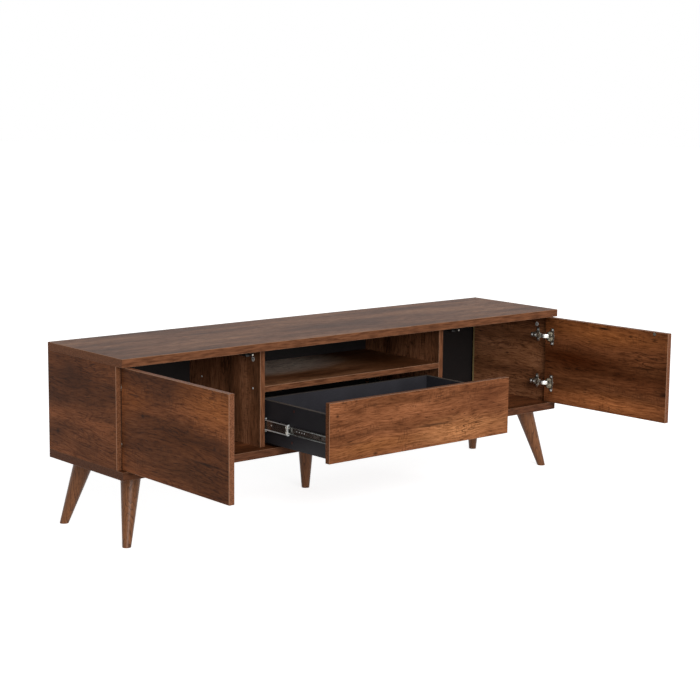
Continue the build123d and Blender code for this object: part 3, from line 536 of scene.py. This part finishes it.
# %% Soften the steel
WELD, ROLLED_EDGE = 0.000005, 0.0004
pressed = [f"{s}_hinge_{kind}" for s in SIDES for kind in ("cups", "links")]
rolled = [f"{s}_slide_{kind}" for s in SIDES for kind in ("outer", "middle", "inner")]
for name in pressed + rolled:
    weld = parts[name].modifiers.new("weld", "WELD")
    weld.merge_threshold = WELD
    soft = parts[name].modifiers.new("rolled_edge", "BEVEL")
    soft.width = ROLLED_EDGE
    soft.segments = 2
    soft.limit_method = "ANGLE"
    soft.angle_limit = math.radians(40)
print(len(pressed + rolled), "steel pieces softened")

# %% [markdown]
# ## New pieces
# What follows is small and round: legs, screw heads, cams. The frame draws them many-sided to
# stay light, so here they are turned smooth. Every new piece is a bmesh that ends the same way:
# doubles merged, normals turned outwards, shaded smooth up to a given angle, and tied to the body
# that carries it, with the frame's pieces that it stands for hidden.


# %% Finishing a piece
def finish_piece(shape, name, material, body, stands_for=(), smooth=35):
    """Makes a bmesh an object that rides on a body."""
    bmesh.ops.remove_doubles(shape, verts=shape.verts, dist=0.000002)
    bmesh.ops.recalc_face_normals(shape, faces=shape.faces)
    mesh = bpy.data.meshes.new(name)
    shape.to_mesh(mesh)
    shape.free()
    mesh.polygons.foreach_set("use_smooth", [True] * len(mesh.polygons))
    mesh.set_sharp_from_angle(angle=math.radians(smooth))
    mesh.materials.append(material)
    piece = bpy.data.objects.new(name, mesh)
    bpy.context.scene.collection.objects.link(piece)
    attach(piece, body)
    if stands_for:
        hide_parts(*stands_for)
    print(name, len(mesh.polygons), "faces on", body)
    return piece


# %% [markdown]
# ## Stained legs
# The legs are solid beech turned to a taper and stained to go with the print. Turning cuts
# through the growth rings at a slant, so the figure runs up the leg in long flames. The same
# stretched noise does it, with the contour lines closer and no knots or saw marks.


# %% The legs' finish
def stained_beech(name, seed):
    """Turned beech with a walnut stain under satin varnish: even colour, fine dark flecks."""
    material, tree, shader = new_finish(name, IOR=1.5, Specular_IOR_Level=0.20)
    coords = add(tree, "TexCoord")
    axes = add(tree, "SeparateXYZ", {0: coords.outputs["Object"]})
    board = add(tree, "CombineXYZ", {i: axes.outputs[axis] for i, axis in enumerate("ZXY")})
    place = add(tree, "VectorMath", {0: board.outputs[0], 1: seed}, operation="ADD").outputs[0]
    hill = streaks(tree, place, 240, 40, 1.5, 0.5, 40)
    rise = add(tree, "Math", {0: hill, 1: 12.0}, operation="MULTIPLY")
    ring = add(tree, "Math", {0: rise.outputs[0]}, operation="FRACT")
    stops = [(0.0, "#4f301b"), (1.0, "#835535"), (0.25, "#774c2f"), (0.7, "#7f5233")]
    colour = add(tree, "ValToRGB", {0: ring.outputs[0]}, stops).outputs[0]
    fleck = streaks(tree, place, 30, 2.2, 4.0, 0.65, 2.2)
    pores = add(tree, "ValToRGB", {0: fleck}, [(0.34, "#b3a698"), (0.58, "#ffffff")]).outputs[0]
    colour = tint(tree, 0.8, colour, pores, "MULTIPLY")
    sheen = add(tree, "MapRange", {0: fleck, 1: 0.3, 2: 0.7, 3: 0.38, 4: 0.28})
    relief = add(tree, "Bump", {"Height": fleck, "Strength": 0.08, "Distance": 0.0003})
    tree.links.new(colour, shader.inputs["Base Color"])
    tree.links.new(sheen.outputs[0], shader.inputs["Roughness"])
    tree.links.new(relief.outputs[0], shader.inputs["Normal"])
    return material


# %% Turn the legs
LEG_HEIGHT = 0.205
TOP_R, FOOT_R = 0.031, 0.013
LEG_X, LEG_Y, MIDDLE_Y = 0.823, 0.126, -0.080
SPLAY = LEG_HEIGHT * math.tan(math.radians(18.5)) / math.sqrt(2)
corners = {"front_left": (-1, -1), "front_right": (1, -1), "back_left": (-1, 1), "back_right": (1, 1)}
leg_lines = {"leg_middle": (Vector((0, 0, LEG_HEIGHT)), Vector((0, 0, 0)))}
for name, (sx, sy) in corners.items():
    head = Vector((sx * LEG_X, MIDDLE_Y + sy * LEG_Y, LEG_HEIGHT))
    leg_lines[f"leg_{name}"] = (head, head + Vector((sx * SPLAY, sy * SPLAY, -LEG_HEIGHT)))
for i, (name, (head, foot)) in enumerate(leg_lines.items()):
    line = head - foot
    spare = TOP_R / line.length
    slope = (TOP_R - FOOT_R) * spare
    shape = bmesh.new()
    bmesh.ops.create_cone(
        shape,
        cap_ends=True,
        segments=96,
        radius1=FOOT_R - slope,
        radius2=TOP_R + slope,
        depth=line.length * (1 + 2 * spare),
    )
    stand = Matrix.Translation((head + foot) / 2) @ line.to_track_quat("Z", "Y").to_matrix().to_4x4()
    bmesh.ops.transform(shape, matrix=stand, verts=shape.verts)
    for level, outwards in ((0.0, -1), (LEG_HEIGHT, 1)):
        everything = shape.verts[:] + shape.edges[:] + shape.faces[:]
        sawn_off = bmesh.ops.bisect_plane(
            shape, geom=everything, plane_co=(0, 0, level), plane_no=(0, 0, outwards), clear_outer=True
        )
        rim = [part for part in sawn_off["geom_cut"] if isinstance(part, bmesh.types.BMEdge)]
        bmesh.ops.contextual_create(shape, geom=rim)
    finish = stained_beech(f"stained_beech_{name}", (1.7 * i, 0.9 * i, 2.3 * i))
    finish_piece(shape, f"turned_{name}", finish, "carcass", [name])

# %% [markdown]
# ## Screws and cam locks
# A pan-head screw is a low dome with a cross recess, and a cam lock shows a round face with a
# larger cross. One turned head makes both: a profile spun about its axis, a cross cut into the
# flat on top, and a plain shank behind. Where they go is measured on the frame's own screws: the
# long axis of each one, and the end that is thick.


# %% A head with a cross recess
def turned_head(radius, crown, flat, arm, half_width, sunk, shank_r, shank):
    """A head that sits on z = 0 and faces +z, as a mesh."""
    shape = bmesh.new()
    curve = [(radius, 0.0), (radius, 0.35 * crown), (0.95 * radius, 0.7 * crown), (flat, crown)]
    ring = [shape.verts.new((r, 0.0, z)) for r, z in curve]
    edges = [shape.edges.new(pair) for pair in zip(ring, ring[1:])]
    bmesh.ops.spin(
        shape, geom=ring + edges, cent=(0, 0, 0), axis=(0, 0, 1), angle=math.tau, steps=32, use_merge=True
    )
    bmesh.ops.remove_doubles(shape, verts=shape.verts, dist=0.000001)
    lip = [e for e in shape.edges if all(v.co.z > crown - 0.00001 for v in e.verts)]
    rim = [e for e in shape.edges if all(v.co.z < 0.00001 for v in e.verts)]
    a, w = arm, half_width
    quarter = [(a, -w), (a, w), (w, w)]
    plan = list(quarter)
    for _ in range(3):
        quarter = [(-y, x) for x, y in quarter]
        plan += quarter
    cross = [shape.verts.new((x, y, crown)) for x, y in plan]
    outline = [shape.edges.new((cross[i - 1], cross[i])) for i in range(len(cross))]
    bmesh.ops.triangle_fill(shape, use_beauty=True, use_dissolve=False, edges=lip + outline)
    walls = bmesh.ops.extrude_edge_only(shape, edges=outline)["geom"]
    floor_verts = [part for part in walls if isinstance(part, bmesh.types.BMVert)]
    bmesh.ops.translate(shape, verts=floor_verts, vec=(0, 0, -sunk))
    wall_edges = [part for part in walls if isinstance(part, bmesh.types.BMEdge)]
    floor_edges = [e for e in wall_edges if all(v in floor_verts for v in e.verts)]
    bmesh.ops.contextual_create(shape, geom=floor_edges)
    bmesh.ops.contextual_create(shape, geom=rim)
    stem = bmesh.ops.create_cone(
        shape, cap_ends=True, segments=16, radius1=shank_r, radius2=shank_r, depth=shank
    )["verts"]
    bmesh.ops.translate(shape, verts=stem, vec=(0, 0, -shank / 2))
    mesh = bpy.data.meshes.new("turned_head")
    shape.to_mesh(mesh)
    shape.free()
    return mesh


# %% Finding the screws
def islands(name):
    """The separate solids of a frame piece, each as an array of its vertices."""
    shape = bmesh.new()
    shape.from_mesh(parts[name].data)
    bmesh.ops.remove_doubles(shape, verts=shape.verts, dist=0.000005)
    found, seen = [], set()
    for start in shape.verts:
        if start in seen:
            continue
        group, front = [], [start]
        seen.add(start)
        while front:
            here = front.pop()
            group.append(tuple(here.co))
            for e in here.link_edges:
                there = e.other_vert(here)
                if there not in seen:
                    seen.add(there)
                    front.append(there)
        found.append(np.array(group))
    shape.free()
    return found


def screw_seats(name, head_height):
    """Where each screw of a frame piece has its head: the seat's centre and the way it faces."""
    seats = []
    for points in islands(name):
        middle = points.mean(axis=0)
        axis = np.linalg.svd(points - middle)[2][0]
        along = (points - middle) @ axis
        across = np.linalg.norm(points - middle - np.outer(along, axis), axis=1)
        if along[across.argmax()] < 0:
            axis, along = -axis, -along
        seats.append((Vector(middle + axis * (along.max() - head_height)), Vector(axis)))
    return seats


# %% Setting heads
def place_heads(head, seats, name, material, body, stands_for):
    """Sets a copy of a head on every seat, as one piece."""
    shape = bmesh.new()
    for seat, outwards in seats:
        before = len(shape.verts)
        shape.from_mesh(head)
        shape.verts.ensure_lookup_table()
        turn = Matrix.Translation(seat) @ outwards.to_track_quat("Z", "Y").to_matrix().to_4x4()
        bmesh.ops.transform(shape, matrix=turn, verts=shape.verts[before:])
    return finish_piece(shape, name, material, body, stands_for)


# %% Drive the screws
SCREW_HEAD = 0.0014
pan_head = turned_head(
    radius=0.0035, crown=SCREW_HEAD, flat=0.0026, arm=0.0018, half_width=0.0004, sunk=0.0009,
    shank_r=0.0018, shank=0.010,
)
carried_by = {
    "plate_screws": "carcass",
    "shelf_screws": "carcass",
    "back_screws": "carcass",
    "latch_screws": "carcass",
    "slide_screws": "carcass",
    "runner_screws": "drawer",
    "left_cup_screws": "left_door",
    "right_cup_screws": "right_door",
}
pan_zinc = plated("bright_zinc_screws", "#d6d7d6", "#ececec", 0.36, (4, 4), 0.55)
black_zinc = plated("black_zinc_screws", "#1d1c1b", "#2a2927", 0.35, (4, 4))
for name, body in carried_by.items():
    seats = screw_seats(name, SCREW_HEAD)
    finish = black_zinc if name == "runner_screws" else pan_zinc
    place_heads(pan_head, seats, f"pan_head_{name}", finish, body, [name])

# %% Set the cam locks
DIVIDERS_WITHIN_X = 0.6
cam_face = turned_head(
    radius=0.0078, crown=0.0005, flat=0.0070, arm=0.0046, half_width=0.0017, sunk=0.0030,
    shank_r=0.0072, shank=0.012,
)
cam_seats = []
for points in islands("cam_locks"):
    low, high = points.min(axis=0), points.max(axis=0)
    middle = (low + high) / 2
    # sides have their cams on the face that looks to the middle, dividers on the one that looks away
    inwards = 1 if abs(middle[0]) < DIVIDERS_WITHIN_X else -1
    faces = math.copysign(1.0, middle[0]) * inwards
    face_x = high[0] if faces > 0 else low[0]
    cam_seats.append((Vector((face_x, middle[1], middle[2])), Vector((faces, 0, 0))))
place_heads(cam_face, cam_seats, "turned_cam_locks", cast_zinc_painted_highlight, "carcass", ["cam_locks"])

# %% [markdown]
# ## Hinge arms and mounting plates
# The arm is a pressed channel that clips over a rail on the winged mounting plate. The frame has
# both in a plainer form that reaches further back. Here each is built from flat plates: an
# outline made into a face, drawn out to its thickness, and rounded on every edge so that the
# nickel has lines of light to show.

# %% Flat plates with rounded edges
FACE_X, EDGE_Y = 0.882, -0.251
HINGE_HEIGHTS = (0.299, 0.465)


def slab(shape, outline, low, high, stand, edge=0.0004):
    """An outline drawn out from low to high, rounded, and put where stand says."""
    corners = [shape.verts.new((a, b, low)) for a, b in outline]
    face = bmesh.ops.contextual_create(shape, geom=corners)["faces"]
    drawn = bmesh.ops.extrude_face_region(shape, geom=face)["geom"]
    upper = [part for part in drawn if isinstance(part, bmesh.types.BMVert)]
    bmesh.ops.translate(shape, verts=upper, vec=(0, 0, high - low))
    corners += upper
    sharp = list({e for corner in corners for e in corner.link_edges})
    rounded = bmesh.ops.bevel(
        shape, geom=sharp, offset=edge, segments=2, profile=0.5, affect="EDGES", material=-1
    )["verts"]
    whole = {v for v in corners if v.is_valid} | set(rounded)
    bmesh.ops.transform(shape, matrix=stand, verts=list(whole))


def rectangle(a0, b0, a1, b1):
    """The four corners of a rectangle."""
    return [(a0, b0), (a1, b0), (a1, b1), (a0, b1)]


# %% Press the hinges
CHEEK, STEEL, ARM_END = 0.0065, 0.0015, 0.050
ARM_BACK, ARM_SCREWS = 0.026, (0.0300, 0.0440)
WING_THICK, FOOT_THICK, RAIL_LOW, RAIL_TOP = 0.0025, 0.0035, 0.0030, 0.0235
arm_outline = [(15.4, 5.6), (23.7, 5.6), (26.0, 7.9), (26.0, 50.0), (6.5, 50.0), (6.5, 27.0), (15.4, 14.8)]
arm_outline = [(u / 1000, v / 1000) for u, v in arm_outline]
wing = [(30.5, -20), (33.5, -25), (40.5, -25), (43.5, -20), (43.5, 20), (40.5, 25), (33.5, 25), (30.5, 20)]
wing = [(v / 1000, w / 1000) for v, w in wing]
for hand, side in zip(SIDES, (-1, 1)):
    arms, plates, seats = bmesh.new(), bmesh.new(), []
    for z in HINGE_HEIGHTS:
        # arm outlines are drawn from the side's face inwards and from its front edge backwards
        flat = Matrix(((-side, 0, 0, side * FACE_X), (0, 1, 0, EDGE_Y), (0, 0, 1, z), (0, 0, 0, 1)))
        slab(arms, arm_outline, CHEEK, CHEEK + STEEL, flat)
        slab(arms, arm_outline, -CHEEK - STEEL, -CHEEK, flat)
        back_of_arm = rectangle(ARM_BACK - STEEL, 0.024, ARM_BACK, ARM_END)
        slab(arms, back_of_arm, -CHEEK - STEEL / 2, CHEEK + STEEL / 2, flat)
        # plate outlines lie on the side's face
        upright = Matrix(((0, 0, -side, side * FACE_X), (1, 0, 0, EDGE_Y), (0, 1, 0, z), (0, 0, 0, 1)))
        slab(plates, wing, 0.0, WING_THICK, upright)
        slab(plates, rectangle(0.028, -0.0090, 0.049, 0.0090), 0.0, FOOT_THICK, upright)
        slab(plates, rectangle(0.030, -0.0058, 0.048, 0.0058), RAIL_LOW, RAIL_TOP, upright)
        for back in ARM_SCREWS:
            seats.append((Vector((side * (FACE_X - ARM_BACK), EDGE_Y + back, z)), Vector((-side, 0, 0))))
    for shape, name, kind in ((arms, "pressed_arms", "arms"), (plates, "winged_plates", "plates")):
        old = [f"{hand}_hinge_{kind}"]
        finish_piece(shape, f"{hand}_{name}", nickel, "carcass", old, 60)
    place_heads(pan_head, seats, f"{hand}_arm_screws", pan_zinc, "carcass", ())

# %% [markdown]
# ## Rolled rims on the slides
# Slide members are rolled from strip, and their ball tracks are rounded rims that show as bright
# lines beside the dark webs. Each rim is a rod laid in the corner of its member. The middle
# member ends in a bent clip that keeps the balls in, and has a rivet and a hole in its web. The
# inner one has a row of dimples and three holes. Cutting holes this small would cost many faces
# for a dark dot, so each is a thin dark disc instead.


# %% Rods
def rod(shape, start, end, radius, segments=24):
    """A round rod from one point to another."""
    way = Vector(end) - Vector(start)
    made = bmesh.ops.create_cone(
        shape, cap_ends=True, segments=segments, radius1=radius, radius2=radius, depth=way.length
    )["verts"]
    middle = Matrix.Translation((Vector(start) + Vector(end)) / 2)
    bmesh.ops.transform(shape, matrix=middle @ way.to_track_quat("Z", "Y").to_matrix().to_4x4(), verts=made)


# %% Rims, clips, dimples and holes
SLIDE_Z = 0.2975
CLIP_HALF, CLIP_Y, CLIP_WAVE, CLIP_HALF_WIDTH = 0.0160, -0.3525, 0.0026, 0.0012
CLIP_STEPS = 12
MIDDLE_WEB, MIDDLE_RIM = 0.3603, 0.3619
PRONG_X, PRONG_YS, PRONG_LIFT, PRONG_R = 0.3600, (-0.358, -0.368), 0.0075, 0.0012
# outer and middle rims are zinc painted nearly white, a painted highlight; inner rims a darker zinc, painted
# shade
# for each member: body, finish, outer x of its rim, way from there to the rod's middle,
# half height, y ends, rod radius
rims = {
    "outer": ("carcass", painted_highlight_zinc, 0.3550, 1, 0.0225, (-0.249, 0.101), 0.0025),
    "middle": ("slide_middles", painted_highlight_zinc, MIDDLE_RIM, -1, 0.0173, (-0.358, -0.052), 0.0020),
    "inner": ("drawer", painted_shade_zinc, 0.3575, -1, 0.0125, (-0.547, -0.207), 0.0020),
}
# for each kind of disc: body, finish, slot, x of its back and of its face, height over the
# slide's middle, and each disc's y and radius
dimples = [(-0.394 - 0.012 * i, 0.0022) for i in range(4)]
holes = [(-0.468, 0.0026), (-0.526, 0.0032), (-0.536, 0.0022)]
rivets = [(-0.278, 0.0020)]
web_holes = [(-0.290, 0.0038)]
discs = {
    "slide_dimples": ("drawer", painted_highlight_zinc, "slide_steel", (0.3529, 0.3532), 0.001, dimples),
    "slide_holes": ("drawer", black_abs, "box_black", (0.3529, 0.3531), 0.0, holes),
    "middle_rivet": ("slide_middles", painted_highlight_zinc, "slide_steel", (0.3602, 0.3607), 0.002, rivets),
    "middle_hole": ("slide_middles", black_abs, "box_black", (0.3602, 0.3605), 0.0, web_holes),
}

# %% Lay the rims, clips and discs
for hand, side in zip(SIDES, (-1, 1)):
    for member, (body, finish, rim_x, inwards, half, (front, back), radius) in rims.items():
        shape = bmesh.new()
        x = side * (rim_x + inwards * radius)
        for z in (SLIDE_Z + half - radius, SLIDE_Z - half + radius):
            rod(shape, (x, front, z), (x, back, z), radius)
        finish_piece(shape, f"{hand}_{member}_rims", finish, body)

    # the clip is a bent strip: a wave drawn as an outline on the slide's web
    clip = bmesh.new()
    heights = [i * CLIP_HALF / CLIP_STEPS for i in range(-CLIP_STEPS, CLIP_STEPS + 1)]
    wave = [(CLIP_Y - CLIP_WAVE * math.cos(z / CLIP_HALF * math.tau), z) for z in heights]
    there = [(y - CLIP_HALF_WIDTH, z) for y, z in wave]
    back = [(y + CLIP_HALF_WIDTH, z) for y, z in wave[::-1]]
    on_web = Matrix(((0, 0, side, 0), (1, 0, 0, 0), (0, 1, 0, SLIDE_Z), (0, 0, 0, 1)))
    slab(clip, there + back, MIDDLE_WEB, MIDDLE_RIM, on_web)
    for z in (SLIDE_Z - PRONG_LIFT, SLIDE_Z + PRONG_LIFT):
        root, end = [(side * PRONG_X, y, z) for y in PRONG_YS]
        rod(clip, root, end, PRONG_R, 16)
    finish_piece(clip, f"{hand}_slide_clip", bright_nickel, "slide_middles", (), 50)

    for name, (body, finish, slot, (back_x, face_x), lift, spots) in discs.items():
        shape = bmesh.new()
        for y, radius in spots:
            rod(shape, (side * back_x, y, SLIDE_Z + lift), (side * face_x, y, SLIDE_Z + lift), radius, 16)
        finish_piece(shape, f"{hand}_{name}", finish, body)

# %% [markdown]
# ## Latch tips and cover caps
# The push latches end in a small plated disc that meets the door's strike plate, and two brown
# caps cover screws on the outside of the drawer's left wall. All are short rods, which a turned
# profile would not improve at this size.

# %% Small discs
TIP_X, TIP_Z, TIP_YS, TIP_R = 0.430, 0.525, (-0.2745, -0.27610), 0.0026
CAP_XS, CAP_R = (-0.3517, -0.3523), 0.0042
for hand, side in zip(SIDES, (-1, 1)):
    tip = bmesh.new()
    rod(tip, *[(side * TIP_X, y, TIP_Z) for y in TIP_YS], TIP_R)
    finish_piece(tip, f"{hand}_latch_tip", nickel, f"{hand}_plunger")
caps = bmesh.new()
for y, z in ((-0.378, 0.358), (-0.369, 0.260)):
    rod(caps, *[(x, y, z) for x in CAP_XS], CAP_R)
finish_piece(caps, "drawer_caps", brown_abs, "drawer")

# %% [markdown]
# ## Stage, light and camera
# The stage is white with soft light from the front. The floor and the world show white to the
# camera and to glossy reflections, and a broad soft sun gives the object its shading. The floor
# still takes the shadow. Lamps near the object would do too, but a sun lights the floor evenly
# out to the horizon.

# %% Floor
FLOOR_R, FLOOR_Z = 30.0, -0.0003
stage_mesh = bmesh.new()
bmesh.ops.create_circle(stage_mesh, cap_ends=True, radius=FLOOR_R, segments=64)
bmesh.ops.translate(stage_mesh, verts=stage_mesh.verts, vec=(0.0, 0.0, FLOOR_Z))
floor_data = bpy.data.meshes.new("floor")
stage_mesh.to_mesh(floor_data)
stage_mesh.free()
floor = bpy.data.objects.new("floor", floor_data)
bpy.context.scene.collection.objects.link(floor)
print("floor of radius", FLOOR_R, "m")


# %% White for the camera
def seen_directly(tree):
    """1 for what the camera sees, also in a mirror or through glass, and 0 for light that falls on things."""
    path = add(tree, "LightPath")
    either = {0: path.outputs["Is Camera Ray"], 1: path.outputs["Is Glossy Ray"]}
    either = add(tree, "Math", either, operation="MAXIMUM")
    all_three = {0: either.outputs[0], 1: path.outputs["Is Transmission Ray"]}
    return add(tree, "Math", all_three, operation="MAXIMUM").outputs[0]


# what the paper glows for the camera: with the light that falls on it, it shows white
FLOOR_LIFT = 0.80
floor_paint = bpy.data.materials.new("studio_paper")
floor_paint.use_nodes = True
tree = floor_paint.node_tree
tree.nodes.clear()
lift = add(tree, "Math", {0: seen_directly(tree), 1: FLOOR_LIFT}, operation="MULTIPLY")
glow = add(tree, "Emission", {"Color": paint("#ffffff"), "Strength": lift.outputs[0]})
paper = add(tree, "BsdfDiffuse", {"Color": paint("#e8e8e8")})
both = add(tree, "AddShader", {0: glow.outputs[0], 1: paper.outputs[0]})
add(tree, "OutputMaterial", {0: both.outputs[0]})
floor_data.materials.append(floor_paint)

# %% World
# the world's own light on the object, the same from all sides
AMBIENT = 0.26
world = bpy.data.worlds.new("studio")
bpy.context.scene.world = world
world.use_nodes = True
tree = world.node_tree
tree.nodes.clear()
level = add(tree, "MapRange", {0: seen_directly(tree), 1: 0.0, 2: 1.0, 3: AMBIENT, 4: 1.0})
sky = add(tree, "Background", {"Color": paint("#ffffff"), "Strength": level.outputs[0]})
add(tree, "OutputWorld", {0: sky.outputs[0]})
print("world light", AMBIENT)


# %% Soft sun
def soft_sun(name, towards, level, spread):
    """A sun that adds this level to a white surface facing it."""
    lamp = bpy.data.lights.new(name, "SUN")
    lamp.energy = level * math.pi
    lamp.angle = math.radians(spread)
    made = bpy.data.objects.new(name, lamp)
    made.rotation_euler = Vector(towards).to_track_quat("Z", "Y").to_euler()
    bpy.context.scene.collection.objects.link(made)
    return made


# from the front, a little left and above, and wide enough for soft shadows
KEY_FROM, KEY_LEVEL, KEY_SPREAD = (-0.28, -0.87, 0.40), 0.82, 42
soft_sun("key", KEY_FROM, KEY_LEVEL, KEY_SPREAD)
print("key light", KEY_LEVEL, "from", KEY_FROM)

# %% Camera
# fitted to the corners of the boards
CAMERA_PLACE = (-3.4972, -4.3285, 1.3525)
HEADING, TILT, ROLL = 40.42, 9.06, 0.59
FOCAL_MM, SENSOR_MM = 87.79, 36.0
lens = bpy.data.cameras.new("camera")
lens.sensor_width = SENSOR_MM
lens.lens = FOCAL_MM
camera = bpy.data.objects.new("camera", lens)
turn = Matrix.Rotation(math.radians(-HEADING), 4, "Z") @ Matrix.Rotation(math.radians(90 - TILT), 4, "X")
camera.matrix_world = Matrix.Translation(CAMERA_PLACE) @ turn @ Matrix.Rotation(math.radians(ROLL), 4, "Z")
bpy.context.scene.collection.objects.link(camera)
bpy.context.scene.camera = camera
print("camera at", CAMERA_PLACE, "with", FOCAL_MM, "mm")
bpy.context.scene.view_settings.view_transform = "Standard"
